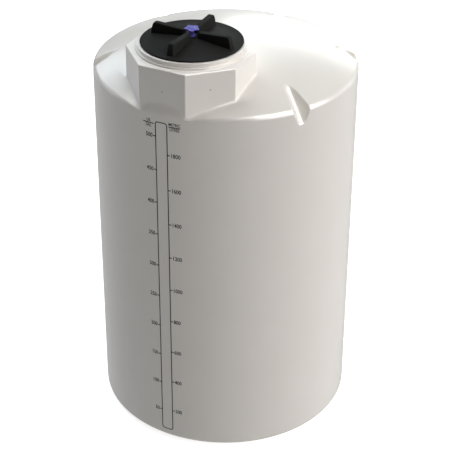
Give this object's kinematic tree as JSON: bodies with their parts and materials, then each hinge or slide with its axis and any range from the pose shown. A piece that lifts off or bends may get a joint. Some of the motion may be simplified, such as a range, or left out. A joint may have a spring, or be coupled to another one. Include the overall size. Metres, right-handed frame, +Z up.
{
  "type": "vertical chemical storage tank",
  "caption": "Upright round polyethylene storage tank with a domed roof, tie-down grooves, an octagonal manway collar, a black screw lid with lugs and a blue vent.",
  "frame": {"origin": "middle of the flat base, on the floor", "axes": "+Z up along the tank's axis; the manway and the volume scale are towards -Y"},
  "size_m": [1.2192, 1.2192, 2.048],
  "materials": {
    "tank_shell": "natural white polyethylene, rotationally moulded, satin with a faint orange peel",
    "lid": "black polyethylene, satin",
    "lid_gasket": "black sealing rubber",
    "vent": "blue moulded plastic, satin"
  },
  "bodies": {
    "tank": {"tank_floor": "tank_shell", "wall_01": "tank_shell", "wall_02": "tank_shell", "wall_03": "tank_shell", "wall_04": "tank_shell", "wall_05": "tank_shell", "wall_06": "tank_shell", "wall_07": "tank_shell", "wall_08": "tank_shell", "wall_09": "tank_shell", "wall_10": "tank_shell", "wall_11": "tank_shell", "wall_12": "tank_shell", "roof_front_right": "tank_shell", "roof_right": "tank_shell", "roof_rear_right": "tank_shell", "roof_rear_left": "tank_shell", "roof_left": "tank_shell", "roof_front_left": "tank_shell", "manway_collar": "tank_shell", "manway_deck": "tank_shell", "manway_neck_01": "tank_shell", "manway_neck_02": "tank_shell", "manway_neck_03": "tank_shell", "manway_neck_04": "tank_shell", "manway_neck_05": "tank_shell", "manway_neck_06": "tank_shell", "manway_neck_07": "tank_shell", "manway_neck_08": "tank_shell", "manway_neck_09": "tank_shell", "manway_neck_10": "tank_shell", "manway_neck_11": "tank_shell", "manway_neck_12": "tank_shell", "manway_neck_13": "tank_shell", "manway_neck_14": "tank_shell"},
    "lid_seal": {"lid_gasket": "lid_gasket"},
    "lid": {"lid_plate": "lid", "lid_thread_ring": "lid", "lid_lug_1": "lid", "lid_lug_2": "lid", "lid_lug_3": "lid", "lid_lug_4": "lid", "vent_stem": "vent", "vent_cap": "vent"}
  },
  "joints": [
    {"name": "lid_lift", "type": "slide", "parent": "tank", "child": "lid_seal", "axis": [0, 0, 1], "range_m": [0, 0.25]},
    {"name": "lid_turn", "type": "hinge", "parent": "lid_seal", "child": "lid", "pos_m": [0, -0.3243, 1.9845], "axis": [0, 0, 1], "range_deg": [0, 315]}
  ]
}
